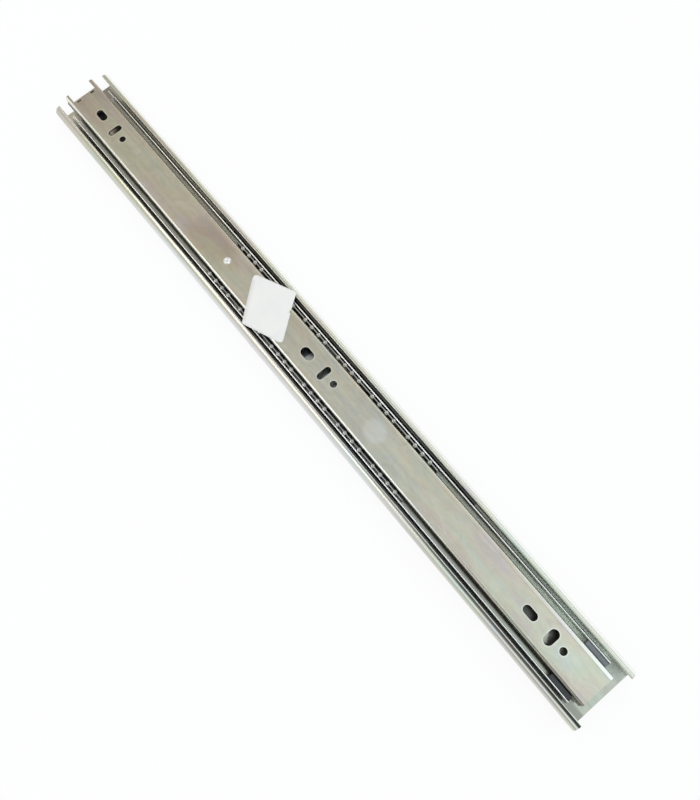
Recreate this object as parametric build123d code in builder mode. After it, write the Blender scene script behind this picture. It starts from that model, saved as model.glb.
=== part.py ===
from build123d import *
import math
import os

os.makedirs("parts", exist_ok=True)

# Telescopic ball-bearing drawer slide, three sections, drawn closed.
# Millimetres. Origin: middle of the cabinet rail's mounting face.
# +X is the pull-out direction, +Z goes from the cabinet side to the drawer.

# Overall sizes
rail_length = 500.0
rail_width = 45.0
slide_depth = 12.7
mid_travel_share = 0.416
drawer_travel_share = 0.556
hole_grid = 32.0

# Sheet steel
cabinet_sheet = 1.2
mid_sheet = 1.0
drawer_sheet = 1.2
cage_sheet = 0.5

# Balls, in groups of four along each side of each cage
outer_ball_d = 4.76
inner_ball_d = 3.5
ball_clearance = 0.2
ball_pitch = 6.5
group_count = 6
balls_per_group = 4
cage_end = 6.5
cage_rim = 0.6
cover_gap = 0.45

# Heights
web_gap = 1.5
lip_drop = 0.5
cage_lift = 0.35
foot_clearance = 1.27

# Bends and lips
side_radius = 4.8
cabinet_lip_sweep = 90.0
mid_bend = 2.2
mid_lip_sweep = 50.0
pinch_sweep = 14.0
pinch_length = 7.0
drawer_bend = 1.5
shoulder_width = 2.6
lip_round_share = 0.45
drawer_foot_sweep = 55.0
cage_bend = 1.3

# Lengths along the slide
mid_setback = 12.0
drawer_front_reach = 2.5
drawer_rear_setback = 6.5
inner_cage_shift = -7.5
inner_cage_share = 0.385

# Front end of the drawer rail
horn_length = 7.5
stop_tab_share = 0.81
stop_tab_drop = 7.0
stop_notch = 1.1
stop_notch_width = 3.0
shoulder_line_width = 0.5
shoulder_line_depth = 0.2

# Screw holes of the drawer rail, three groups on the 32 mm grid
drawer_hole_setback = 27.0
hole_margin = 84.0
drawer_middle_share = 0.54
screw_hole_d = 4.4
long_slot = 9.5
long_slot_widths = (5.0, 6.0, 5.0)
cross_slot = 10.0
cross_slot_widths = (4.4, 4.4, 5.8)
cross_slot_step = 16.0
round_hole_step = 25.0

# Screw holes of the cabinet rail
cabinet_hole_setback = 37.0
cabinet_middle_share = 0.385
cabinet_slot_step = 16.0
cabinet_slot_width = 4.6

# Access windows of the intermediate rail
access_shares = (0.126, 0.378, -0.126, -0.378)
access_length = 16.0
access_width = 9.0

# Stops and bumpers
stop_gap = 0.3
cabinet_stop_setback = 34.5
mid_stop_setback = 2.6
cage_stop_length = 2.0
cage_stop_width = 10.0
cage_stop_height = 1.1
rear_tab_width = 12.0
rear_tab_rise = 3.8
rear_bumper_length = 2.0
front_bumper_side = 0.5
front_bumper_rise = 4.8
front_bumper_leg = 8.0
front_bumper_leg_height = 1.5
front_bumper_underhang = 0.3

# Plastic guides in the rear end of the intermediate rail
guide_length = 15.0
guide_clearance = 0.35
guide_relief = 0.25

# Release lever under the drawer rail's web
catch_setback = 10.0
catch_side_gap = 0.54
catch_share = 0.5
catch_clearance = 1.9
lever_arm = 39.7
lever_hub_share = 1.153
lever_share = 0.575
lever_float = 0.2
lever_bore_clearance = 0.05
finger_length = 38.0
finger_side_gap = 1.54
finger_share = 0.5625
spring_reach = 28.0
spring_thickness = 0.9
spring_tip_share = 0.482
rivet_d = 4.0
rivet_head_d = 8.0
rivet_head_height = 1.0
web_rivet_setback = 170.0
web_rivet_d = 5.0
web_rivet_head_d = 7.0

# Half widths, from the outside in
cabinet_half = rail_width / 2
outer_ball_y = cabinet_half - cabinet_sheet - ball_clearance - outer_ball_d / 2
mid_half = outer_ball_y - outer_ball_d / 2 - ball_clearance
inner_ball_y = mid_half - mid_sheet - ball_clearance - inner_ball_d / 2
drawer_half = inner_ball_y - inner_ball_d / 2 - ball_clearance
drawer_inner = drawer_half - drawer_sheet
horn_inner = drawer_half - shoulder_width
stop_tab_width = 2 * horn_inner * stop_tab_share
catch_outer_y = drawer_inner - catch_side_gap
catch_inner_y = catch_outer_y * catch_share
finger_outer_y = drawer_inner - finger_side_gap
finger_inner_y = finger_outer_y * finger_share
lever_hub_d = drawer_inner * lever_hub_share
spring_tip_y = drawer_inner * spring_tip_share
front_bumper_width = 2 * (catch_inner_y - front_bumper_side)
ball_track = mid_half - inner_ball_y
foot_reach = ball_track - mid_sheet

# Heights, from the mounting face up
lip_top = slide_depth - lip_drop
outer_ball_z = lip_top / 2
mid_floor = cabinet_sheet + web_gap
mid_web_top = mid_floor + mid_sheet
drawer_web_bottom = slide_depth - drawer_sheet
outer_cage_floor = cabinet_sheet + (web_gap - cage_sheet) / 2
inner_cage_floor = mid_web_top + cage_lift
inner_cage_top = inner_cage_floor + cage_sheet
foot_drop = (foot_reach + drawer_sheet) * math.sin(math.radians(drawer_foot_sweep))
inner_ball_z = inner_cage_top + foot_clearance + foot_drop
lever_thickness = lever_share * (drawer_web_bottom - inner_cage_top)
catch_rise = drawer_web_bottom - catch_clearance - mid_web_top

# Ends along the slide
front_x = rail_length / 2
rear_x = -rail_length / 2
mid_front = front_x - mid_setback
mid_rear = -mid_front
mid_length = mid_front - mid_rear
drawer_front = front_x + drawer_front_reach
drawer_rear = rear_x + drawer_rear_setback
drawer_length = drawer_front - drawer_rear
web_front = drawer_front - horn_length

# Travel of each stage, and the cages that run with it
mid_travel = rail_length * mid_travel_share
drawer_travel = rail_length * drawer_travel_share
cabinet_stop_x = front_x - cabinet_stop_setback
mid_stop_x = mid_rear + mid_stop_setback
outer_cage_length = cabinet_stop_x - mid_stop_x - mid_travel - 2 * stop_gap
outer_cage_x = mid_stop_x + stop_gap + mid_travel / 2 + outer_cage_length / 2
inner_cage_length = rail_length * inner_cage_share
group_span = ball_pitch * (balls_per_group - 1)

# Positions of the holes and of the lever
grid_steps = math.floor((rail_length - hole_margin) / hole_grid)
last_hole = hole_grid * grid_steps
drawer_middle = hole_grid * round(grid_steps * drawer_middle_share)
cabinet_middle = hole_grid * round(grid_steps * cabinet_middle_share)
drawer_first_x = front_x - drawer_hole_setback
drawer_groups = [drawer_first_x - step for step in (0, drawer_middle, last_hole)]
cabinet_first_x = front_x - cabinet_hole_setback
cabinet_holes = [(cabinet_first_x - step, 0) for step in (0, cabinet_middle, last_hole)]
cabinet_slots = [
    (cabinet_first_x - cabinet_slot_step, 0),
    (cabinet_first_x - cabinet_middle + cabinet_slot_step, 0),
    (cabinet_first_x - last_hole + cabinet_slot_step, 0),
]
catch_rear = mid_front - catch_setback
hook_front = catch_rear - drawer_travel - stop_gap
pivot_x = hook_front - lever_arm
web_rivet_x = front_x - web_rivet_setback

# A ball is a low-faceted bead that fits inside the true sphere.
facet = math.radians(22.5)
flat_share = math.cos(facet) ** 2


def bead(diameter):
    radius = diameter / 2
    half_height = radius * math.cos(facet)
    crown = half_height - radius * math.sin(facet)
    with BuildPart() as ball:
        with BuildSketch():
            RegularPolygon(half_height, 8, rotation=22.5)
        extrude(amount=half_height, both=True)
        chamfer(ball.edges().filter_by(Axis.Z, reverse=True), crown)
    return ball.part


def ball_starts(centre, length):
    first = centre - length / 2 + cage_end
    pitch = (length - group_span - 2 * cage_end) / (group_count - 1)
    return [first + pitch * group for group in range(group_count)]


def lip_tip(profile):
    return profile.vertices().sort_by(Axis.Y)[-2:]


# Cabinet rail: rounded channel with inturned lips
with BuildPart() as cabinet_rail:
    with BuildSketch(Plane.YZ.offset(rear_x)) as profile:
        with BuildLine():
            Line((0, 0), (cabinet_half - side_radius, 0))
            heel = CenterArc(
                (cabinet_half - side_radius, side_radius), side_radius, -90, 90
            )
            wall = Line(heel @ 1, (cabinet_half, lip_top - side_radius))
            CenterArc(
                (cabinet_half - side_radius, lip_top - side_radius),
                side_radius,
                0,
                cabinet_lip_sweep,
            )
            offset(amount=cabinet_sheet, side=Side.LEFT)
        make_face()
        fillet(lip_tip(profile), cabinet_sheet * lip_round_share)
        mirror(about=Plane.YZ)
    extrude(amount=rail_length)
    # screw holes and slots
    with BuildSketch(Plane.XY):
        with Locations(*cabinet_holes):
            Circle(screw_hole_d / 2)
        with Locations(*cabinet_slots):
            SlotOverall(long_slot, cabinet_slot_width)
    extrude(amount=cabinet_sheet, mode=Mode.SUBTRACT)
    # tongue bent up at the rear, with the window that it leaves in the web
    tab_front = mid_rear - stop_gap - rear_bumper_length
    tab_rear = tab_front - cabinet_sheet
    with Locations((tab_rear, 0, 0)):
        Box(
            rear_tab_rise,
            rear_tab_width,
            cabinet_sheet,
            align=(Align.MAX, Align.CENTER, Align.MIN),
            mode=Mode.SUBTRACT,
        )
        Box(
            cabinet_sheet,
            rear_tab_width,
            cabinet_sheet + rear_tab_rise,
            align=(Align.MIN, Align.CENTER, Align.MIN),
        )
    # stop that the outer cage meets when the slide is open
    with Locations((cabinet_stop_x, 0, cabinet_sheet)):
        Box(
            cage_stop_length,
            cage_stop_width,
            cage_stop_height,
            align=(Align.MIN, Align.CENTER, Align.MIN),
        )
cabinet_rail.part.label = "cabinet_rail"
export_step(cabinet_rail.part, "parts/cabinet_rail.step")

# Rubber bumper in front of the cabinet rail's rear tongue
with BuildPart() as rear_bumper:
    with Locations((tab_front, 0, cabinet_sheet)):
        Box(
            rear_bumper_length,
            rear_tab_width,
            rear_tab_rise,
            align=(Align.MIN, Align.CENTER, Align.MIN),
        )
rear_bumper.part.label = "rear_bumper"
export_step(rear_bumper.part, "parts/rear_bumper.step")

# Intermediate rail: channel whose lips close over the inner balls
with BuildPart() as intermediate_rail:
    with BuildSketch(Plane.YZ.offset(mid_rear)) as profile:
        with BuildLine():
            Line((0, mid_floor), (mid_half - mid_bend, mid_floor))
            heel = CenterArc(
                (mid_half - mid_bend, mid_floor + mid_bend), mid_bend, -90, 90
            )
            Line(heel @ 1, (mid_half, inner_ball_z))
            CenterArc((inner_ball_y, inner_ball_z), ball_track, 0, mid_lip_sweep)
            offset(amount=mid_sheet, side=Side.LEFT)
        make_face()
        fillet(lip_tip(profile), mid_sheet * lip_round_share)
        mirror(about=Plane.YZ)
    extrude(amount=mid_length)
    # lips pinched inwards at the front end
    with BuildSketch(Plane.YZ.offset(mid_front - pinch_length)) as profile:
        with BuildLine():
            CenterArc(
                (inner_ball_y, inner_ball_z),
                ball_track,
                mid_lip_sweep / 2,
                mid_lip_sweep / 2 + pinch_sweep,
            )
            offset(amount=mid_sheet, side=Side.LEFT)
        make_face()
        fillet(lip_tip(profile), mid_sheet * lip_round_share)
        mirror(about=Plane.YZ)
    extrude(amount=pinch_length)
    # access windows
    with BuildSketch(Plane.XY.offset(mid_floor)):
        with Locations(*[(share * mid_length, 0) for share in access_shares]):
            SlotOverall(access_length, access_width)
    extrude(amount=mid_sheet, mode=Mode.SUBTRACT)
    # catch for the release lever, bent up out of the web
    with Locations((catch_rear + mid_sheet, -catch_inner_y, mid_floor)):
        Box(
            catch_rise,
            catch_outer_y - catch_inner_y,
            mid_sheet,
            align=(Align.MIN, Align.MAX, Align.MIN),
            mode=Mode.SUBTRACT,
        )
    with Locations((catch_rear, -catch_inner_y, mid_floor)):
        Box(
            mid_sheet,
            catch_outer_y - catch_inner_y,
            mid_sheet + catch_rise,
            align=(Align.MIN, Align.MAX, Align.MIN),
        )
    # stop that meets the outer cage's rear end when the slide is open
    with Locations((mid_stop_x, 0, mid_floor)):
        Box(
            cage_stop_length,
            cage_stop_width,
            cage_stop_height,
            align=(Align.MAX, Align.CENTER, Align.MAX),
        )
intermediate_rail.part.label = "intermediate_rail"
export_step(intermediate_rail.part, "parts/intermediate_rail.step")

# Plastic guides that close the rear ends of the intermediate rail's tracks
mid_wall = mid_half - mid_sheet
foot_y = inner_ball_y - foot_reach * math.cos(math.radians(drawer_foot_sweep))
guide_low_y = foot_y + guide_clearance
guide_high_y = drawer_half + guide_clearance + guide_relief
heel_relief = mid_bend - mid_sheet + guide_relief
shelf_z = inner_ball_z - inner_ball_d / 5
roof_z = inner_ball_z + foot_reach * 0.6
roof_y = inner_ball_y + foot_reach * 0.6
for side, sign in (("left", 1), ("right", -1)):
    with BuildPart() as rear_guide:
        with BuildSketch(Plane.YZ.offset(mid_rear)):
            with BuildLine():
                Polyline(
                    (sign * guide_low_y, mid_web_top),
                    (sign * (mid_wall - heel_relief), mid_web_top),
                    (sign * mid_wall, mid_web_top + heel_relief),
                    (sign * mid_wall, inner_ball_z),
                    (sign * roof_y, roof_z),
                    (sign * guide_high_y, roof_z),
                    (sign * guide_high_y, shelf_z),
                    (sign * guide_low_y, shelf_z),
                    close=True,
                )
            make_face()
        extrude(amount=guide_length)
    rear_guide.part.label = f"rear_guide_{side}"
    export_step(rear_guide.part, f"parts/rear_guide_{side}.step")

# Plastic bumper clipped on the intermediate rail's front edge
stop_tab_rear = web_front - drawer_sheet
with BuildPart() as front_bumper:
    with Locations((mid_front, 0, mid_floor - front_bumper_underhang)):
        Box(
            stop_tab_rear - stop_gap - mid_front,
            front_bumper_width,
            front_bumper_underhang + mid_sheet + front_bumper_rise,
            align=(Align.MIN, Align.CENTER, Align.MIN),
        )
    with Locations((mid_front, 0, mid_web_top)):
        Box(
            front_bumper_leg,
            front_bumper_width,
            front_bumper_leg_height,
            align=(Align.MAX, Align.CENTER, Align.MIN),
        )
front_bumper.part.label = "front_bumper"
export_step(front_bumper.part, "parts/front_bumper.step")

# Drawer rail: inverted channel with feet turned out under the inner balls
with BuildPart() as drawer_rail:
    with BuildSketch(Plane.YZ.offset(drawer_rear)):
        with BuildLine():
            Line((0, slide_depth), (drawer_half - drawer_bend, slide_depth))
            shoulder = CenterArc(
                (drawer_half - drawer_bend, slide_depth - drawer_bend),
                drawer_bend,
                90,
                -90,
            )
            Line(shoulder @ 1, (drawer_half, inner_ball_z))
            CenterArc((inner_ball_y, inner_ball_z), foot_reach, 180, drawer_foot_sweep)
            offset(amount=drawer_sheet, side=Side.RIGHT)
        make_face()
        mirror(about=Plane.YZ)
    extrude(amount=drawer_length)
    # web cut back between the two horns, with a closing stop bent down
    with Locations((web_front, 0, slide_depth)):
        Box(
            horn_length,
            2 * horn_inner,
            drawer_sheet,
            align=(Align.MIN, Align.CENTER, Align.MAX),
            mode=Mode.SUBTRACT,
        )
        Box(
            drawer_sheet,
            stop_tab_width,
            stop_tab_drop,
            align=(Align.MAX, Align.CENTER, Align.MAX),
        )
    # relief slots behind the two ends of the stop's bend
    for side, align in ((1, Align.MAX), (-1, Align.MIN)):
        with Locations((web_front - drawer_sheet, side * stop_tab_width / 2, slide_depth)):
            Box(
                stop_notch,
                stop_notch_width,
                drawer_sheet,
                align=(Align.MAX, align, Align.MAX),
                mode=Mode.SUBTRACT,
            )
    # rolled lines inside the rounded shoulders
    with Locations((drawer_rear, horn_inner, slide_depth)):
        Box(
            web_front - drawer_rear,
            shoulder_line_width,
            shoulder_line_depth,
            align=(Align.MIN, Align.MAX, Align.MAX),
            mode=Mode.SUBTRACT,
        )
    with Locations((drawer_rear, -horn_inner, slide_depth)):
        Box(
            web_front - drawer_rear,
            shoulder_line_width,
            shoulder_line_depth,
            align=(Align.MIN, Align.MIN, Align.MAX),
            mode=Mode.SUBTRACT,
        )
    # screw slots, screw holes and the rivet hole
    with BuildSketch(Plane.XY.offset(drawer_web_bottom)):
        for x, slot_w, cross_w in zip(
            drawer_groups, long_slot_widths, cross_slot_widths
        ):
            with Locations((x, 0)):
                SlotOverall(long_slot, slot_w)
            with Locations((x - cross_slot_step, 0)):
                SlotOverall(cross_slot, cross_w, rotation=90)
            with Locations((x - round_hole_step, 0)):
                Circle(screw_hole_d / 2)
        with Locations((web_rivet_x, 0)):
            Circle(web_rivet_d / 2)
    extrude(amount=drawer_sheet, mode=Mode.SUBTRACT)
drawer_rail.part.label = "drawer_rail"
export_step(drawer_rail.part, "parts/drawer_rail.step")

# Flush rivet seen on the web
with BuildPart() as web_rivet:
    with Locations((web_rivet_x, 0, slide_depth)):
        Cylinder(
            web_rivet_d / 2,
            drawer_sheet,
            align=(Align.CENTER, Align.CENTER, Align.MAX),
        )
    with Locations((web_rivet_x, 0, drawer_web_bottom)):
        Cylinder(
            web_rivet_head_d / 2,
            rivet_head_height,
            align=(Align.CENTER, Align.CENTER, Align.MAX),
        )
web_rivet.part.label = "web_rivet"
export_step(web_rivet.part, "parts/web_rivet.step")

# Release lever with its hook, finger tab and spring arm
lever_top = drawer_web_bottom - lever_float
lever_bottom = lever_top - lever_thickness
hub_r = lever_hub_d / 2
with BuildPart() as release_lever:
    with BuildSketch(Plane.XY.offset(lever_bottom)):
        with Locations((pivot_x, 0)):
            Circle(hub_r)
        with Locations((pivot_x, -catch_outer_y)):
            Rectangle(
                lever_arm, catch_outer_y - catch_inner_y, align=(Align.MIN, Align.MIN)
            )
        with Locations((pivot_x, finger_outer_y)):
            Rectangle(
                finger_length,
                finger_outer_y - finger_inner_y,
                align=(Align.MAX, Align.MAX),
            )
        with BuildLine():
            Line(
                (pivot_x + hub_r / 2, hub_r / 2),
                (pivot_x + spring_reach, spring_tip_y),
            )
        trace(line_width=spring_thickness)
        with Locations((pivot_x, 0)):
            Circle(rivet_d / 2 + lever_bore_clearance, mode=Mode.SUBTRACT)
    extrude(amount=lever_thickness)
release_lever.part.label = "release_lever"
export_step(release_lever.part, "parts/release_lever.step")

# Headed pin that the lever turns on, welded blind to the web's underside
with BuildPart() as lever_rivet:
    with Locations((pivot_x, 0, drawer_web_bottom)):
        Cylinder(
            rivet_d / 2,
            drawer_web_bottom - lever_bottom + lever_float,
            align=(Align.CENTER, Align.CENTER, Align.MAX),
        )
    with Locations((pivot_x, 0, lever_bottom - lever_float)):
        Cylinder(
            rivet_head_d / 2,
            rivet_head_height,
            align=(Align.CENTER, Align.CENTER, Align.MAX),
        )
lever_rivet.part.label = "lever_rivet"
export_step(lever_rivet.part, "parts/lever_rivet.step")

# Ball cages, each with the ball groups that it carries. The outer cage's
# strips turn inwards over their balls, the inner cage's strips end upright.
for name, centre, length, floor, ball_y, ball_z, ball_d, covered in (
    (
        "outer",
        outer_cage_x,
        outer_cage_length,
        outer_cage_floor,
        outer_ball_y,
        outer_ball_z,
        outer_ball_d,
        True,
    ),
    (
        "inner",
        inner_cage_shift,
        inner_cage_length,
        inner_cage_floor,
        inner_ball_y,
        inner_ball_z,
        inner_ball_d,
        False,
    ),
):
    strip = ball_y + cage_sheet / 2
    rim = ball_z + ball_d / 2 + (cage_bend if covered else cage_rim)
    pocket = ball_d * flat_share
    ball_part = bead(ball_d)
    with BuildPart() as cage:
        with BuildSketch(Plane.YZ.offset(centre - length / 2)):
            with BuildLine():
                Line((0, floor), (strip - cage_bend, floor))
                heel = CenterArc(
                    (strip - cage_bend, floor + cage_bend), cage_bend, -90, 90
                )
                if covered:
                    Line(heel @ 1, (strip, rim - cage_bend))
                    turn = CenterArc(
                        (strip - cage_bend, rim - cage_bend), cage_bend, 0, 90
                    )
                    Line(turn @ 1, (mid_half + cover_gap, rim))
                else:
                    Line(heel @ 1, (strip, rim))
                offset(amount=cage_sheet, side=Side.LEFT)
            make_face()
            mirror(about=Plane.YZ)
        extrude(amount=length)
        for start in ball_starts(centre, length):
            for ball in range(balls_per_group):
                for sign in (1, -1):
                    with Locations((start + ball_pitch * ball, sign * ball_y, ball_z)):
                        Box(pocket, 2 * cage_sheet, ball_d, mode=Mode.SUBTRACT)
    cage.part.label = f"{name}_cage"
    export_step(cage.part, f"parts/{name}_cage.step")
    for side, sign in (("left", 1), ("right", -1)):
        for number, start in enumerate(ball_starts(centre, length), 1):
            with BuildPart() as balls:
                places = [
                    (start + ball_pitch * ball, sign * ball_y, ball_z)
                    for ball in range(balls_per_group)
                ]
                with Locations(*places):
                    add(ball_part)
            balls.part.label = f"{name}_balls_{side}_{number}"
            export_step(balls.part, f"parts/{name}_balls_{side}_{number}.step")
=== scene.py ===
import math

import bmesh
import bpy
from mathutils import Matrix, Vector, noise


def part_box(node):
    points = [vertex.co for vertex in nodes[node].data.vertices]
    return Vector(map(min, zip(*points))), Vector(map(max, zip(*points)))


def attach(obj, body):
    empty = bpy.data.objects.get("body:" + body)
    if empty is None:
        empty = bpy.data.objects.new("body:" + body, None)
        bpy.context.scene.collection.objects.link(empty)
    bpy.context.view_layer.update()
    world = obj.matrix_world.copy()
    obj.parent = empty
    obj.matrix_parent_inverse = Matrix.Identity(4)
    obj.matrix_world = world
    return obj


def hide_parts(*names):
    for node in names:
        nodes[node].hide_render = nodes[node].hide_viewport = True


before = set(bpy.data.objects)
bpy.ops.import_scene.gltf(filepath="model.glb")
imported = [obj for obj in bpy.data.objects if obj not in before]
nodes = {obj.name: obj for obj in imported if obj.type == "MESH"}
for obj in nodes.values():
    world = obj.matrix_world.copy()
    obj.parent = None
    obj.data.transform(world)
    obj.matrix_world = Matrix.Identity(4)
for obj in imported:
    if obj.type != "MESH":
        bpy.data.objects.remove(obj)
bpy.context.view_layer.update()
scene = bpy.context.scene
MM = 0.001
WHITE = (1.0, 1.0, 1.0)

# Node trees


class Tree:
    """Shorthand for building one node tree."""

    # sockets of a Mix node that take two colours and give the mixed one
    FIRST, SECOND, MIXED = 6, 7, 2

    def __init__(self, tree):
        self.tree = tree

    def new(self, kind):
        return self.tree.nodes.new("ShaderNode" + kind)

    def put(self, socket, value):
        """Link the socket to another one, or set it to a number or a colour."""
        if hasattr(value, "is_linked"):
            self.tree.links.new(value, socket)
        elif isinstance(value, tuple):
            socket.default_value = (*value, 1.0)
        else:
            socket.default_value = value

    def split(self, vector):
        node = self.new("SeparateXYZ")
        self.put(node.inputs[0], vector)
        return node.outputs

    def ramp(self, fac, *stops):
        """Colours, each at its place between nought and one."""
        node = self.new("ValToRGB")
        elements = node.color_ramp.elements
        while len(elements) < len(stops):
            elements.new(0.5)
        for element, (at, colour) in zip(elements, stops):
            element.position = at
            element.color = (*colour, 1.0)
        self.put(node.inputs["Fac"], fac)
        return node.outputs["Color"]

    def range(self, value, low, high, to_low=0.0, to_high=1.0, smooth=False):
        """The span from low to high brought to another span, and cut off at its ends."""
        node = self.new("MapRange")
        node.interpolation_type = "SMOOTHSTEP" if smooth else "LINEAR"
        ends = {"From Min": low, "From Max": high, "To Min": to_low, "To Max": to_high}
        for name, number in ends.items():
            node.inputs[name].default_value = number
        self.put(node.inputs["Value"], value)
        return node.outputs["Result"]

    def rise(self, value, start, end, most=1.0):
        """Nought before start, most beyond end."""
        return self.range(value, start, end, 0.0, most)

    def fall(self, value, start, end, most=1.0, smooth=False):
        """Most before start, nought beyond end."""
        return self.range(value, start, end, most, 0.0, smooth)

    def band(self, value, start, full, ebb, end):
        """One from full to ebb, nought before start and beyond end."""
        return self.all_of(self.rise(value, start, full), self.fall(value, ebb, end))

    def math(self, kind, a, b=0.0):
        node = self.new("Math")
        node.operation = kind
        self.put(node.inputs[0], a)
        self.put(node.inputs[1], b)
        return node.outputs[0]

    def all_of(self, first, *others):
        """Product of masks and shares."""
        for other in others:
            first = self.math("MULTIPLY", first, other)
        return first

    def any_of(self, first, *others):
        """The strongest of some masks."""
        for other in others:
            first = self.math("MAXIMUM", first, other)
        return first

    def square_sum(self, a, b):
        return self.math("ADD", self.all_of(a, a), self.all_of(b, b))

    def mix(self, fac, a, b, blend="MIX"):
        node = self.new("Mix")
        node.data_type = "RGBA"
        node.blend_type = blend
        self.put(node.inputs[0], fac)
        self.put(node.inputs[self.FIRST], a)
        self.put(node.inputs[self.SECOND], b)
        return node.outputs[self.MIXED]

    def mix_shaders(self, fac, a, b):
        node = self.new("MixShader")
        for socket, value in zip(node.inputs, (fac, a, b)):
            self.put(socket, value)
        return node.outputs[0]


class Finish(Tree):
    """A material with one principled shader, worked out in object coordinates."""

    # noise lies mostly between these two
    NOISE_SPAN = (0.3, 0.7)

    def __init__(self, name, metallic):
        self.mat = bpy.data.materials.new(name)
        self.mat.use_nodes = True
        super().__init__(self.mat.node_tree)
        self.bsdf = self.tree.nodes["Principled BSDF"]
        self.bsdf.inputs["Metallic"].default_value = metallic
        self.place = self.new("TexCoord").outputs["Object"]

    def noise(self, scale, detail=3.0, rough=0.55, distort=0.0):
        """Noise whose scale is per metre, the same along all axes or one for each."""
        at = self.place
        if isinstance(scale, tuple):
            move = self.new("Mapping")
            move.inputs["Scale"].default_value = scale
            self.put(move.inputs["Vector"], at)
            at = move.outputs["Vector"]
            scale = 1.0
        node = self.new("TexNoise")
        settings = {"Scale": scale, "Detail": detail, "Roughness": rough, "Distortion": distort}
        for name, number in settings.items():
            node.inputs[name].default_value = number
        self.put(node.inputs["Vector"], at)
        return node.outputs["Fac"]

    def vary(self, pattern, low, high):
        """A share that goes from low to high with the noise."""
        return self.range(pattern, *self.NOISE_SPAN, low, high)

    def facing(self, axis):
        """How much the surface faces the given axis, from -1 to 1."""
        return self.split(self.new("NewGeometry").outputs["Normal"])[axis]

    def surface(self, base, rough, height, relief, depth):
        """Give the shader its colour, its roughness and a relief of the given strength and depth."""
        self.put(self.bsdf.inputs["Base Color"], base)
        self.put(self.bsdf.inputs["Roughness"], rough)
        bump = self.new("Bump")
        bump.inputs["Strength"].default_value = relief
        bump.inputs["Distance"].default_value = depth
        self.put(bump.inputs["Height"], height)
        self.put(self.bsdf.inputs["Normal"], bump.outputs["Normal"])
        return self.mat


# Zinc of the three rails. X runs along the rail to its front end, Y to its left side.


class Zinc(Finish):
    """Bright zinc on rolled strip: streaks along the rail and a faint play of colours."""

    PLAY_OF_COLOURS = (
        (0.30, (0.86, 0.92, 1.00)),
        (0.43, (0.96, 1.00, 0.93)),
        (0.52, (1.00, 0.99, 0.90)),
        (0.61, (1.00, 0.93, 0.91)),
        (0.72, (0.95, 0.92, 1.00)),
    )
    SPOTS = (
        (0.36, (0.90, 0.96, 1.00)),
        (0.46, (1.00, 0.97, 1.00)),
        (0.54, (0.97, 1.00, 0.96)),
        (0.66, (1.00, 0.95, 0.90)),
    )
    STREAK_TONE = (0.30, 0.29, 0.26)
    RELIEF_DEPTH = 0.04 * MM

    def __init__(self, name, warm, cool, smoothest, roughest):
        super().__init__(name, metallic=1.0)
        self.x, self.y, self.z = self.split(self.place)
        self.left_half = self.rise(self.y, 0.0, 0.001)
        self.streak = self.noise((4.0, 420.0, 420.0), detail=4.0, rough=0.6)
        self.cloud = self.noise((14.0, 55.0, 55.0), detail=4.0, rough=0.6, distort=1.2)
        wide = self.noise((3.0, 60.0, 60.0), detail=3.0, rough=0.5, distort=0.6)
        spots = self.noise((60.0, 110.0, 110.0), detail=5.0, rough=0.65, distort=0.8)
        self.base = self.mix(self.range(wide, 0.35, 0.65), warm, cool)
        self.coat(0.95, self.ramp(self.cloud, *self.PLAY_OF_COLOURS), "MULTIPLY")
        self.coat(0.55, self.ramp(spots, *self.SPOTS), "MULTIPLY")
        self.coat(self.fall(self.streak, 0.35, 0.65, 0.16), self.STREAK_TONE)
        streaks = self.vary(self.streak, smoothest, roughest)
        self.rough = self.math("ADD", streaks, self.vary(self.cloud, -0.04, 0.05))

    def coat(self, mask, colour, blend="MIX"):
        """Lay a colour over the zinc where the mask is one."""
        self.base = self.mix(mask, self.base, colour, blend)

    def roughen(self, mask, amount):
        self.rough = self.math("ADD", self.rough, self.all_of(mask, amount))

    def oval(self, centre, half, start, end, most=1.0, fray=None):
        """Most inside an oval in the XY plane, fading out between two squared distances.

        The squared distance is one on the oval's edge. The fray is added to it.
        """
        along = self.math("DIVIDE", self.math("SUBTRACT", self.x, centre[0]), half[0])
        across = self.math("DIVIDE", self.math("SUBTRACT", self.y, centre[1]), half[1])
        reach = self.square_sum(along, across)
        if fray:
            reach = self.math("ADD", reach, fray)
        return self.fall(reach, start, end, most, smooth=True)

    def rail(self, relief):
        """The finished material, with the relief of its streaks and grain."""
        grain = self.noise(1500.0, detail=2.0)
        height = self.math("ADD", self.all_of(self.streak, 0.8), self.all_of(grain, 0.2))
        return self.surface(self.base, self.rough, height, relief, self.RELIEF_DEPTH)


# Hole groups of the drawer rail: place of the long slot, width of the long slot and of the cross slot
HOLE_GROUPS = ((0.223, 5.0 * MM, 4.4 * MM), (-0.001, 6.0 * MM, 4.4 * MM), (-0.193, 5.0 * MM, 5.8 * MM))
LONG_SLOT = 9.5 * MM
CROSS_SLOT = 10.0 * MM
CROSS_SETBACK = 16.0 * MM
HOLE_SETBACK = 25.0 * MM
HOLE_RADIUS = 2.2 * MM
# the painted highlight on a rim is at its brightest up to the first distance from the edge, and gone at the
# second
RIM_FULL = 0.3 * MM
RIM_END = 1.0 * MM


def hole_rim(m, x, half_long, half_wide, radius):
    """One close to the edge of a hole or slot on the middle line, nought away from it."""
    along = m.math("ABSOLUTE", m.math("SUBTRACT", m.x, x))
    along = m.math("MAXIMUM", m.math("SUBTRACT", along, half_long), 0.0)
    across = m.math("ABSOLUTE", m.y)
    across = m.math("MAXIMUM", m.math("SUBTRACT", across, half_wide), 0.0)
    reach = m.math("SQRT", m.square_sum(along, across))
    return m.fall(reach, radius + RIM_FULL, radius + RIM_END, smooth=True)


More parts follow.
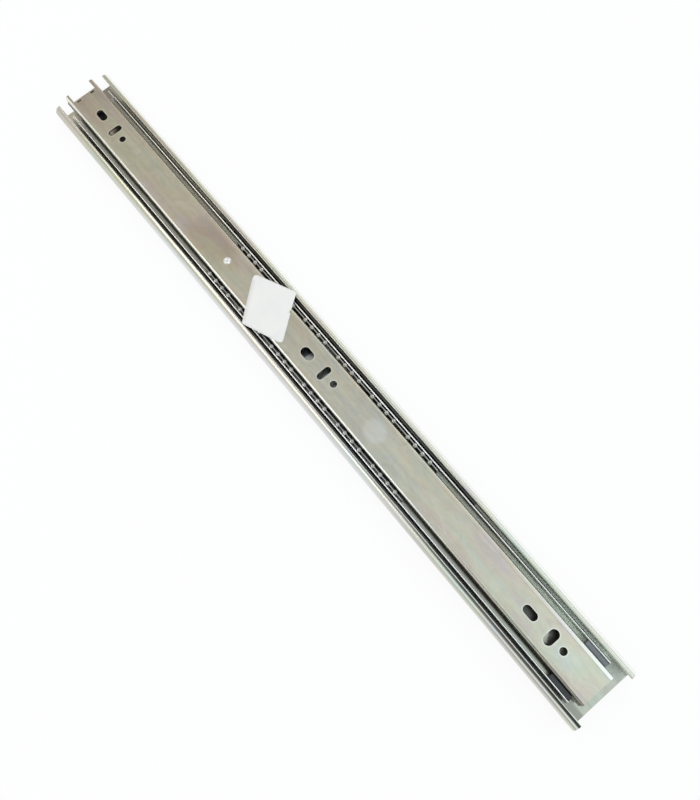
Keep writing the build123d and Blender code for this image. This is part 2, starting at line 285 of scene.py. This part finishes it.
def painted_rim_highlights(m):
    """One on the rims of all holes in the drawer rail's web, where a highlight is painted."""
    rims = []
    for x, slot, cross in HOLE_GROUPS:
        rims.append(hole_rim(m, x, (LONG_SLOT - slot) / 2, 0.0, slot / 2))
        rims.append(hole_rim(m, x - CROSS_SETBACK, 0.0, (CROSS_SLOT - cross) / 2, cross / 2))
        rims.append(hole_rim(m, x - HOLE_SETBACK, 0.0, 0.0, HOLE_RADIUS))
    return m.any_of(*rims)


MOTTLE_TONE = (0.82, 0.82, 0.81)
RUBBED_PALE = (0.72, 0.73, 0.70)
RIVET_STAIN = (0.84, 0.78, 0.72)
FRONT_GRIME = (0.82, 0.81, 0.80)
LEFT_BEND_PAINTED_HIGHLIGHT = (0.84, 0.84, 0.79)
LEFT_BEND_PAINTED_SHADE = (0.21, 0.22, 0.19)
RIGHT_BEND_PAINTED_HIGHLIGHT = (0.84, 0.86, 0.83)
RIM_PAINTED_HIGHLIGHT = (0.92, 0.93, 0.90)
SIDE_PAINTED_SHADE = (0.16, 0.16, 0.145)


def drawer_zinc():
    m = Zinc("zinc_drawer", (0.66, 0.615, 0.53), (0.625, 0.625, 0.575), smoothest=0.30, roughest=0.40)
    facing_up = m.facing("Z")
    web = m.rise(m.z, 0.0110, 0.0116)
    # handling marks all over the web
    mottle = m.noise((65.0, 120.0, 120.0), detail=6.0, rough=0.72, distort=1.2)
    m.coat(1.0, m.ramp(mottle, (0.30, MOTTLE_TONE), (0.70, WHITE)), "MULTIPLY")
    # pale rubbed oval behind the middle holes
    fray = m.vary(m.cloud, -0.25, 0.25)
    pale = m.oval((-0.0634, -0.0003), (0.0079, 0.0062), start=0.45, end=1.35, fray=fray)
    flat = m.rise(facing_up, 0.8, 0.95)
    m.coat(m.all_of(pale, flat, 0.40), RUBBED_PALE)
    # brownish stain round the rivet, and grime towards the front end
    stain = m.oval((0.096, 0.001), (0.030, 0.012), start=0.1, end=1.2)
    patchy = m.range(m.cloud, 0.35, 0.6, 0.2, 0.9)
    m.coat(m.all_of(stain, patchy), RIVET_STAIN, "MULTIPLY")
    front_end = m.rise(m.x, 0.200, 0.245)
    m.coat(front_end, FRONT_GRIME, "MULTIPLY")
    # painted highlights on the shoulders, the left one except towards the rear end, the right one only
    # there; painted shade on the left one towards the rear end
    left_bend = m.all_of(m.fall(facing_up, 0.96, 0.99), web, m.left_half)
    right_bend = m.all_of(m.fall(m.y, -0.0092, -0.0086), web)
    m.coat(m.all_of(left_bend, m.rise(m.x, -0.150, -0.100)), LEFT_BEND_PAINTED_HIGHLIGHT)
    m.coat(m.all_of(left_bend, m.fall(m.x, -0.230, -0.160, most=0.75)), LEFT_BEND_PAINTED_SHADE)
    m.coat(m.all_of(right_bend, m.fall(m.x, -0.235, -0.165, most=0.75)), RIGHT_BEND_PAINTED_HIGHLIGHT)
    # painted highlight round the rims of the holes
    m.coat(m.all_of(painted_rim_highlights(m), 0.30), RIM_PAINTED_HIGHLIGHT)
    # painted shade down the left side, in the left gap
    side = m.all_of(m.fall(m.z, 0.0100, 0.0110), m.rise(m.y, 0.0105, 0.0110))
    m.coat(m.all_of(side, 0.75), SIDE_PAINTED_SHADE)
    return m.rail(relief=0.07)


def web_painted_shade(m):
    """One where shade is painted on the intermediate rail's web, under the drawer rail."""
    under = m.fall(m.math("ABSOLUTE", m.y), 0.0100, 0.0112)
    web = m.fall(m.z, 0.0045, 0.0055)
    short_of_front = m.fall(m.x, 0.212, 0.222)
    # the painted shade is weaker at the rear end
    weaker_at_rear = m.range(m.x, -0.2205, -0.2135, 0.25, 1.0)
    # the painted shade is left out in scattered spots, in a frayed dab near the rear end and on the left
    # near the front end, under the holes, where light shows through them
    smear = m.noise((45.0, 130.0, 130.0), detail=5.0, rough=0.65, distort=1.5)
    wear = m.rise(smear, 0.58, 0.70, most=0.6)
    fray = m.vary(m.noise((220.0, 420.0, 420.0), detail=3.0, rough=0.6, distort=1.0), 0.6, -0.6)
    dab = m.oval((-0.2065, 0.0030), (0.0043, 0.0045), start=0.55, end=1.35, most=0.85, fray=fray)
    corner = m.all_of(m.rise(m.x, 0.198, 0.201), m.rise(m.y, 0.0004, 0.0012))
    shaded = m.range(m.any_of(wear, dab, corner), 0.0, 1.0, 1.0, 0.1)
    return m.all_of(under, web, short_of_front, weaker_at_rear, shaded)


BLACK_PAINTED_SHADE = (0.055, 0.054, 0.050)
EDGE_PAINTED_HIGHLIGHT = (0.98, 0.98, 0.95)
FLOOR_PAINTED_LIGHT = (0.92, 0.93, 0.88)
INNER_TRACK_PAINTED_LIGHT = (0.90, 0.99, 0.90)
LEFT_GAP_PAINTED_SHADE = (0.105, 0.105, 0.088)


def intermediate_zinc():
    m = Zinc("zinc_mid", (0.60, 0.58, 0.52), (0.55, 0.56, 0.51), smoothest=0.26, roughest=0.36)
    facing_left = m.facing("Y")
    track_floor = m.fall(m.z, 0.0050, 0.0062)
    right_track = m.fall(m.y, -0.0116, -0.0108)
    # painted shade on the web under the drawer rail, and down the wall that the left gap shows
    wall = m.all_of(m.rise(facing_left, 0.55, 0.85), m.left_half, m.fall(m.z, 0.0088, 0.0098))
    painted_shade = m.any_of(web_painted_shade(m), wall)
    m.coat(m.all_of(painted_shade, m.vary(m.cloud, 0.98, 0.80)), BLACK_PAINTED_SHADE)
    # painted highlight on the lip edges, which are also less rough
    edge = m.rise(m.z, 0.0094, 0.0099)
    m.coat(m.all_of(edge, m.vary(m.streak, 0.80, 1.0)), EDGE_PAINTED_HIGHLIGHT)
    m.roughen(edge, -0.08)
    # painted light on the track floors outside the painted shade, the right one less than the left one
    left_track = m.all_of(m.rise(m.y, 0.0120, 0.0130), m.rise(m.x, -0.170, -0.090))
    floors = m.all_of(m.any_of(left_track, right_track), track_floor)
    painted_floor_light = m.all_of(floors, m.range(m.y, -0.001, 0.001, 0.22, 1.0))
    m.coat(m.all_of(painted_floor_light, m.vary(m.cloud, 0.75, 0.95)), FLOOR_PAINTED_LIGHT)
    m.roughen(floors, 0.22)
    # painted light on the right track towards the rear end, where it is also rougher
    inside = m.all_of(m.fall(m.z, 0.0090, 0.0096), m.rise(facing_left, -0.3, 0.0))
    track_painted_light = m.all_of(right_track, inside, m.fall(m.x, -0.205, -0.145, most=0.95))
    m.coat(track_painted_light, INNER_TRACK_PAINTED_LIGHT)
    m.roughen(track_painted_light, 0.15)
    # painted shade along the foot of the left gap
    foot = m.all_of(m.band(m.y, 0.0100, 0.0110, 0.0120, 0.0143), track_floor)
    m.coat(m.all_of(foot, m.range(m.x, -0.150, -0.095, 0.9, 0.55)), LEFT_GAP_PAINTED_SHADE)
    return m.rail(relief=0.025)


LEFT_TRACK_PAINTED_SHADE = (0.095, 0.096, 0.088)
RIGHT_TRACK_PAINTED_SHADE = (0.20, 0.20, 0.185)
OUTER_TRACK_PAINTED_LIGHT = (0.92, 0.99, 0.92)
BEND_PAINTED_SHADE = (0.15, 0.16, 0.15)
REAR_FLOOR_DULL = (0.33, 0.32, 0.27)
LEFT_WALL_PAINTED_LIGHT = (0.76, 0.79, 0.82)
LEFT_LINE_PAINTED_REFLECTION = (0.25, 0.27, 0.27)
RIGHT_WALL_PAINTED_LIGHT = (0.94, 0.95, 0.93)
RIGHT_LINE_PAINTED_REFLECTION = (0.38, 0.41, 0.40)


def cabinet_tracks(m, facing_left):
    """Painted shade inside the tracks. The right one has painted light instead towards the rear end, where
    it is also rougher.
    """
    below_lip = m.fall(m.z, 0.0104, 0.0112)
    left_track = m.all_of(m.rise(m.y, 0.0120, 0.0135), below_lip, m.fall(facing_left, 0.1, 0.3))
    # painted shade in the left track
    left_track_shade = m.all_of(left_track, m.fall(m.x, 0.234, 0.245))
    m.coat(m.all_of(left_track_shade, m.vary(m.cloud, 0.98, 0.85)), LEFT_TRACK_PAINTED_SHADE)
    # painted shade in the right track, growing towards the front end
    right_track = m.all_of(m.fall(m.y, -0.0135, -0.0120), below_lip, m.rise(facing_left, -0.3, -0.1))
    m.coat(m.all_of(right_track, m.rise(m.x, -0.20, 0.10, most=0.70)), RIGHT_TRACK_PAINTED_SHADE)
    # painted light on the right track towards the rear end, which is also rougher
    track_painted_light = m.all_of(right_track, m.fall(m.x, -0.215, -0.130, most=0.95))
    m.coat(track_painted_light, OUTER_TRACK_PAINTED_LIGHT)
    m.roughen(track_painted_light, 0.25)


def cabinet_walls(m, facing_left):
    """Painted light on the outer sides, on the left one in the middle, on the right one all along, and on
    each a line of painted dark reflection.
    """
    upper = m.rise(m.z, 0.0090, 0.0095)
    left_wall = m.all_of(m.rise(facing_left, 0.60, 0.90), m.left_half)
    middle = m.all_of(m.fall(m.x, 0.120, 0.200), m.range(m.x, -0.130, -0.080, 0.15, 1.0))
    # painted light on the left side, in the middle
    m.coat(m.all_of(left_wall, middle, 0.75), LEFT_WALL_PAINTED_LIGHT)
    # a line of painted dark reflection on the left side
    left_line = m.all_of(m.band(m.y, 0.0207, 0.0211, 0.0213, 0.0217), upper)
    m.coat(m.all_of(left_line, m.fall(m.x, -0.230, -0.080, most=0.75)), LEFT_LINE_PAINTED_REFLECTION)
    # painted light on the right side
    right_wall = m.fall(facing_left, -0.72, -0.45)
    m.coat(m.all_of(right_wall, m.vary(m.streak, 0.85, 1.0)), RIGHT_WALL_PAINTED_LIGHT)
    # a line of painted dark reflection on the right side
    right_line = m.all_of(m.band(m.y, -0.0206, -0.0200, -0.0195, -0.0189), upper)
    m.coat(m.all_of(right_line, m.fall(m.x, -0.200, 0.010, most=0.48)), RIGHT_LINE_PAINTED_REFLECTION)


def cabinet_zinc():
    m = Zinc("zinc_cabinet", (0.64, 0.63, 0.57), (0.60, 0.62, 0.57), smoothest=0.21, roughest=0.29)
    facing_left = m.facing("Y")
    cabinet_tracks(m, facing_left)
    # painted shade in the left bend towards the rear end
    bend = m.all_of(m.band(m.y, 0.0180, 0.0186, 0.0194, 0.0202), m.rise(m.z, 0.0104, 0.0112))
    m.coat(m.all_of(bend, m.fall(m.x, -0.230, -0.110, most=0.80)), BEND_PAINTED_SHADE)
    # dull floor at the rear end
    rear_floor = m.all_of(m.fall(m.x, -0.240, -0.236), m.fall(m.z, 0.0014, 0.0024))
    m.coat(m.all_of(rear_floor, m.vary(m.cloud, 0.55, 0.85)), REAR_FLOOR_DULL)
    cabinet_walls(m, facing_left)
    return m.rail(relief=0.025)


# Finishes of the other pieces
CAGE_PAINTED_SHADE = (0.05, 0.05, 0.047)
POOL_PAINTED_SHADE = (0.10, 0.10, 0.105)
POOL_SLANT = -0.11
SHADE_FADE = 0.5 * MM


def cage_steel(name, dark, light, shaded_from=0.1, pool=0.0):
    """Cage strip with painted shade on the left side, from the given distance to the middle plane on.

    A pool of painted shade, as strong as given, lies on its floor in front of the middle.
    The defaults show neither.
    """
    m = Finish(name, metallic=0.9)
    streak = m.noise((30.0, 500.0, 500.0), detail=3.0)
    smear = m.noise((60.0, 160.0, 160.0), detail=4.0, rough=0.6, distort=0.8)
    x, y, z = m.split(m.place)
    base = m.mix(m.range(smear, 0.35, 0.7), dark, light)
    # painted shade on the left side, and a pool of painted shade on the floor in front of the middle
    base = m.mix(m.rise(y, shaded_from, shaded_from + SHADE_FADE, most=0.65), base, CAGE_PAINTED_SHADE)
    slanted_front = m.rise(m.math("ADD", x, m.all_of(y, POOL_SLANT)), 0.0006, 0.0013, most=pool)
    thinner_ahead = m.range(x, 0.002, 0.007, 1.0, 0.3)
    floor = m.fall(z, 0.0050, 0.0056)
    base = m.mix(m.all_of(slanted_front, thinner_ahead, floor), base, POOL_PAINTED_SHADE)
    return m.surface(base, m.vary(smear, 0.24, 0.42), streak, relief=0.12, depth=0.05 * MM)


def ball_steel(name, bright, dull):
    """Polished steel under a film of grease."""
    m = Finish(name, metallic=1.0)
    film = m.noise(900.0, detail=3.0, rough=0.5, distort=0.5)
    base = m.mix(m.range(film, 0.4, 0.7), bright, dull)
    rough = m.range(film, 0.35, 0.7, 0.36, 0.46)
    grain = m.noise(3000.0, detail=2.0)
    return m.surface(base, rough, grain, relief=0.02, depth=0.02 * MM)


def rivet_steel(name, bright, dull):
    m = Finish(name, metallic=1.0)
    wear = m.noise((700.0, 700.0, 700.0), detail=4.0, rough=0.6)
    base = m.mix(m.range(wear, 0.35, 0.7), bright, dull)
    return m.surface(base, m.vary(wear, 0.40, 0.52), wear, relief=0.1, depth=0.04 * MM)


def plastic(name, dark, light, smoothest, roughest, grain=1400.0):
    m = Finish(name, metallic=0.0)
    skin = m.noise(grain, detail=3.0, rough=0.6)
    cloud = m.noise(120.0, detail=3.0)
    base = m.mix(m.range(cloud, 0.35, 0.65), dark, light)
    return m.surface(base, m.vary(skin, smoothest, roughest), skin, relief=0.15, depth=0.06 * MM)


def paper(name, grey, cream, fibre_tone):
    m = Finish(name, metallic=0.0)
    fibre = m.noise(1500.0, detail=4.0, rough=0.65)
    cloud = m.noise(70.0, detail=3.0, rough=0.5, distort=0.5)
    base = m.mix(m.range(cloud, 0.35, 0.65), grey, cream)
    base = m.mix(m.rise(fibre, 0.55, 0.75, most=0.25), base, fibre_tone)
    return m.surface(base, m.vary(fibre, 0.5, 0.68), fibre, relief=0.12, depth=0.05 * MM)


balls_bright = ball_steel("ball_steel", (0.66, 0.66, 0.64), (0.50, 0.50, 0.47))
rivets_bright = rivet_steel("rivet_steel", (0.80, 0.79, 0.77), (0.66, 0.65, 0.62))
petals_bright = rivet_steel("petal_steel", (0.98, 0.98, 0.97), (0.86, 0.86, 0.84))
label_paper = paper("label_paper", (0.81, 0.795, 0.785), (0.84, 0.82, 0.80), (0.72, 0.71, 0.70))
# the outer cage near-black: partly its dark steel, partly painted shade of the deep outer gap
cage_dark_shaded = cage_steel("cage_steel_dark_shaded", (0.045, 0.046, 0.043), (0.11, 0.11, 0.10))
# the inner cage with painted shade on its left side and a pool of painted shade under the middle slot
cage_clean = cage_steel("cage_steel", (0.40, 0.405, 0.39), (0.60, 0.60, 0.57), shaded_from=0.0131, pool=0.85)
slate = plastic("guide_plastic", (0.155, 0.176, 0.200), (0.195, 0.217, 0.238), 0.38, 0.52)
# the left guide near-black as painted shade of the dark left gap
slate_shaded = plastic("guide_plastic_shaded", (0.022, 0.025, 0.028), (0.038, 0.041, 0.045), 0.38, 0.52)
lever_black = plastic("lever_plastic", (0.018, 0.018, 0.019), (0.032, 0.032, 0.033), 0.40, 0.55)
bumper_black = plastic("bumper_plastic", (0.030, 0.031, 0.033), (0.050, 0.050, 0.052), 0.42, 0.58)
rubber = plastic("bumper_rubber", (0.016, 0.016, 0.016), (0.030, 0.029, 0.028), 0.62, 0.78, grain=900.0)

FINISHES = {
    "cabinet_rail": cabinet_zinc(),
    "intermediate_rail": intermediate_zinc(),
    "drawer_rail": drawer_zinc(),
    "outer_cage": cage_dark_shaded,
    "inner_cage": cage_clean,
    "web_rivet": rivets_bright,
    "lever_rivet": rivets_bright,
    "release_lever": lever_black,
    "front_bumper": bumper_black,
    "rear_bumper": rubber,
    "rear_guide_left": slate_shaded,
    "rear_guide_right": slate,
}
for name, node in nodes.items():
    node.data.materials.clear()
    node.data.materials.append(FINISHES.get(name, balls_bright))

# Pieces


def add(name, bm, material, body):
    """Make the mesh a piece of the scene that rides on a body."""
    mesh = bpy.data.meshes.new(name)
    bm.normal_update()
    bm.to_mesh(mesh)
    bm.free()
    mesh.materials.append(material)
    obj = bpy.data.objects.new(name, mesh)
    scene.collection.objects.link(obj)
    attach(obj, body)
    return obj


def smooth_faces(bm):
    for face in bm.faces:
        face.smooth = True


# Balls: each group's beads are shown as the round balls they stand for
BALL_RADIUS = {"outer": 2.38 * MM, "inner": 1.75 * MM}
BALL_PITCH = 6.5 * MM
BALLS_IN_GROUP = 4
GROUPS_ON_SIDE = 6


def round_balls(node, radius):
    """The balls of one group, in a row along X through the middle of its node."""
    low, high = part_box(node)
    centre = (low + high) / 2
    bm = bmesh.new()
    for k in range(BALLS_IN_GROUP):
        step = k - (BALLS_IN_GROUP - 1) / 2
        place = Matrix.Translation(centre + Vector((step * BALL_PITCH, 0, 0)))
        bmesh.ops.create_icosphere(bm, subdivisions=3, radius=radius, matrix=place)
    smooth_faces(bm)
    return bm


for stage, radius in BALL_RADIUS.items():
    for side in ("left", "right"):
        for group in range(1, GROUPS_ON_SIDE + 1):
            node = f"{stage}_balls_{side}_{group}"
            bm = round_balls(node, radius)
            balls = add(node + "_round", bm, balls_bright, f"{stage}_cage_body")
            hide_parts(node)

# Blank paper label stuck across the drawer rail. Its corners are in mm, each with its rounding.
LABEL_CORNERS = (
    (Vector((62.0, -7.3)), 3.8),
    (Vector((34.7, -20.0)), 1.2),
    (Vector((27.8, -10.5)), 0.5),
    (Vector((27.2, -8.5)), 0.4),
    (Vector((25.8, -8.2)), 0.5),
    (Vector((13.6, 7.8)), 3.2),
    (Vector((40.6, 18.3)), 1.4),
)
ROUNDING_STEPS = 8
LABEL_TOP = 13.0 * MM
LABEL_SHEET = 0.12 * MM
LABEL_GRID = 2.0 * MM
LABEL_CUTS = 3
WAVES_PER_METRE = 90
WAVE_SLICE = 0.3
WAVE_HEIGHT = 0.12 * MM
FLAT_HALF_WIDTH = 11.0 * MM
DROOP = 0.06


def rounded(corners):
    """Outline through the corners, each one replaced by a curve."""
    points = []
    for i, (corner, radius) in enumerate(corners):
        before = (corners[i - 1][0] - corner).normalized()
        after = (corners[(i + 1) % len(corners)][0] - corner).normalized()
        start = corner + before * radius
        end = corner + after * radius
        for k in range(ROUNDING_STEPS + 1):
            t = k / ROUNDING_STEPS
            points.append(start * (1 - t) ** 2 + corner * 2 * t * (1 - t) + end * t**2)
    return points


def label_mesh():
    """A thin sheet, a little wavy, that droops beyond the drawer rail's web."""
    bm = bmesh.new()
    bm.faces.new([bm.verts.new((p.x * MM, p.y * MM, 0.0)) for p in rounded(LABEL_CORNERS)])
    bmesh.ops.triangulate(bm, faces=bm.faces[:])
    for _ in range(LABEL_CUTS):
        long_edges = [edge for edge in bm.edges if edge.calc_length() > LABEL_GRID]
        bmesh.ops.subdivide_edges(bm, edges=long_edges, cuts=1, use_grid_fill=False)
        bmesh.ops.triangulate(bm, faces=bm.faces[:])
    for vert in bm.verts:
        x, y = vert.co.xy
        wave = noise.noise(Vector((x * WAVES_PER_METRE, y * WAVES_PER_METRE, WAVE_SLICE)))
        droop = max(0.0, abs(y) - FLAT_HALF_WIDTH) * DROOP
        vert.co.z = LABEL_TOP - droop + wave * WAVE_HEIGHT
    bmesh.ops.recalc_face_normals(bm, faces=bm.faces[:])
    if sum(face.normal.z for face in bm.faces) < 0:
        bmesh.ops.reverse_faces(bm, faces=bm.faces[:])
    underside = bmesh.ops.extrude_face_region(bm, geom=bm.faces[:])["geom"]
    for item in underside:
        if isinstance(item, bmesh.types.BMVert):
            item.co.z -= LABEL_SHEET
    bmesh.ops.recalc_face_normals(bm, faces=bm.faces[:])
    # both faces of the sheet are smooth, and its cut edge stays sharp
    for face in bm.faces:
        face.smooth = abs(face.normal.z) > 0.5
    return bm


add("paper_label", label_mesh(), label_paper, "drawer")

# Petals staked over the rivet in the drawer rail's web
PETALS = 4
PETAL_SETOFF = 1.38 * MM
PETAL_SHAPE = (0.95, 0.80, 0.42, 1.0)
PETAL_RADIUS = 1.0 * MM


def petal_mesh():
    low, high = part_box("web_rivet")
    hub = Vector(((low.x + high.x) / 2, (low.y + high.y) / 2, high.z))
    bm = bmesh.new()
    for k in range(PETALS):
        angle = 2 * math.pi * k / PETALS
        spot = hub + Vector((math.cos(angle), math.sin(angle), 0)) * PETAL_SETOFF
        turn = Matrix.Rotation(angle, 4, "Z")
        place = Matrix.Translation(spot) @ turn @ Matrix.Diagonal(PETAL_SHAPE)
        bmesh.ops.create_uvsphere(bm, u_segments=20, v_segments=12, radius=PETAL_RADIUS, matrix=place)
    smooth_faces(bm)
    return bm


add("rivet_petals", petal_mesh(), petals_bright, "drawer")

# Floor
FLOOR_REACH = 6
FLOOR_DROP = 0.3 * MM
FLOOR_TONE = (0.9, 0.9, 0.9)
FLOOR_GLOW = 0.88


def floor_paper():
    """White paper that takes shadows and looks white to the camera and in reflections."""
    mat = bpy.data.materials.new("floor")
    mat.use_nodes = True
    mat.node_tree.nodes.clear()
    t = Tree(mat.node_tree)
    paint = t.new("BsdfDiffuse")
    t.put(paint.inputs["Color"], FLOOR_TONE)
    light = t.new("Emission")
    t.put(light.inputs["Color"], WHITE)
    path = t.new("LightPath").outputs
    seen = t.any_of(path["Is Camera Ray"], path["Is Glossy Ray"])
    shader = t.mix_shaders(t.all_of(seen, FLOOR_GLOW), paint.outputs[0], light.outputs[0])
    t.put(t.new("OutputMaterial").inputs["Surface"], shader)
    return mat


corners = [(sx * FLOOR_REACH, sy * FLOOR_REACH, 0) for sx, sy in ((-1, -1), (1, -1), (1, 1), (-1, 1))]
mesh = bpy.data.meshes.new("floor")
mesh.from_pydata(corners, [], [(0, 1, 2, 3)])
mesh.materials.append(floor_paper())
floor = bpy.data.objects.new("floor", mesh)
floor.location.z = -FLOOR_DROP
scene.collection.objects.link(floor)

# Surroundings
SKY_STRENGTH = 2.13
# paper up to the first height, sky from the second one on
HORIZON = (0.10, 0.40)


class Sky(Tree):
    """Surroundings whose colours are given by direction."""

    # between these, colours are placed round a direction
    COSINES = (0.8, 1.0)

    def __init__(self, tree):
        super().__init__(tree)
        self.where = self.new("TexCoord").outputs["Generated"]
        self.x, self.y, self.z = self.split(self.where)

    def colours(self, value, low, high, *stops):
        """Colours at their places between low and high."""
        span = high - low
        scaled = [((at - low) / span, colour) for at, colour in stops]
        return self.ramp(self.range(value, low, high), *scaled)

    def toward(self, direction, away, near):
        """One colour away from the direction and one near it, each with its cosine."""
        node = self.new("VectorMath")
        node.operation = "DOT_PRODUCT"
        node.inputs[1].default_value = Vector(direction).normalized()
        self.put(node.inputs[0], self.where)
        return self.colours(node.outputs["Value"], *self.COSINES, away, near)

    def overhead(self):
        """Light that falls off to the front and to the right, with what stands above the slide."""
        lengthwise = self.colours(
            self.x,
            -0.5,
            0.75,
            (0.045, (0.92, 0.995, 1.02)),
            (0.12, (0.85, 0.90, 0.98)),
            (0.24, (0.76, 0.76, 0.83)),
            (0.35, (0.70, 0.68, 0.66)),
            (0.55, (0.63, 0.60, 0.54)),
        )
        sideways = self.colours(self.y, -1.0, 1.0, (0.30, (0.77, 0.77, 0.77)), (0.75, WHITE))
        # a bright patch at the near end, and a dark figure on its left
        patch = self.toward((-0.5, -0.15, 0.85), (0.87, (0.64, 0.64, 0.64)), (0.96, (0.93, 0.98, 1.0)))
        body = self.toward((-0.26, 0.43, 0.865), (0.90, WHITE), (0.955, (0.08, 0.08, 0.08)))
        head = self.toward((0.03, 0.25, 0.97), (0.975, WHITE), (0.995, (0.45, 0.45, 0.45)))
        above = lengthwise
        for shade in (sideways, patch, body, head):
            above = self.mix(1.0, above, shade, "MULTIPLY")
        return above

    def paper_round(self):
        """White paper on all sides, a little brighter on the right."""
        return self.colours(self.y, -1.0, 1.0, (-0.9, (0.63, 0.63, 0.63)), (0.9, (0.49, 0.49, 0.49)))


world = bpy.data.worlds.new("studio")
scene.world = world
world.use_nodes = True
world.node_tree.nodes.clear()
sky = Sky(world.node_tree)
above_paper = sky.range(sky.z, *HORIZON, smooth=True)
around = sky.new("Background")
sky.put(around.inputs["Color"], sky.mix(above_paper, sky.paper_round(), sky.overhead()))
sky.put(around.inputs["Strength"], SKY_STRENGTH)
plain = sky.new("Background")
sky.put(plain.inputs["Color"], WHITE)
camera_ray = sky.new("LightPath").outputs["Is Camera Ray"]
shader = sky.mix_shaders(camera_ray, around.outputs[0], plain.outputs[0])
sky.put(sky.new("OutputWorld").inputs["Surface"], shader)

# Lamps
LAMP_AIM = Vector((0, 0, 6.0 * MM))


def lamp(name, at, size, power, colour=WHITE):
    """A lit rectangle that faces the middle of the slide."""
    data = bpy.data.lights.new(name, "AREA")
    data.shape = "RECTANGLE"
    data.size, data.size_y = size
    data.energy = power
    data.color = colour
    obj = bpy.data.objects.new(name, data)
    obj.location = at
    obj.rotation_euler = (LAMP_AIM - Vector(at)).to_track_quat("-Z", "Y").to_euler()
    scene.collection.objects.link(obj)


lamp("left_strip", (0.475, 0.64, 0.95), size=(1.25, 0.20), power=2.5, colour=(1.0, 0.99, 0.94))
lamp("right_strip", (0.0, -1.1, 0.8), size=(2.2, 0.25), power=2.0)

# Camera, fitted to the photograph
CAMERA_AT = (-0.1384196, 0.0476192, 0.4076074)
PICTURE_RIGHT = Vector((-0.63380805, -0.77094348, -0.0627177))
PICTURE_DOWN = Vector((-0.73512077, 0.62560509, -0.26118141))
VIEW_AHEAD = Vector((0.24059262, -0.11943379, -0.9632501))
SENSOR = 36.0
FOCAL_PIXELS = 700
LONG_SIDE_PIXELS = 800

cam = bpy.data.cameras.new("camera")
cam.sensor_width = SENSOR
cam.lens = SENSOR * FOCAL_PIXELS / LONG_SIDE_PIXELS
cam.clip_start, cam.clip_end = 0.01, 20
camera = bpy.data.objects.new("camera", cam)
scene.collection.objects.link(camera)
turn = Matrix((PICTURE_RIGHT, -PICTURE_DOWN, -VIEW_AHEAD)).transposed().to_4x4()
camera.matrix_world = Matrix.Translation(CAMERA_AT) @ turn
scene.camera = camera

scene.view_settings.view_transform = "Standard"
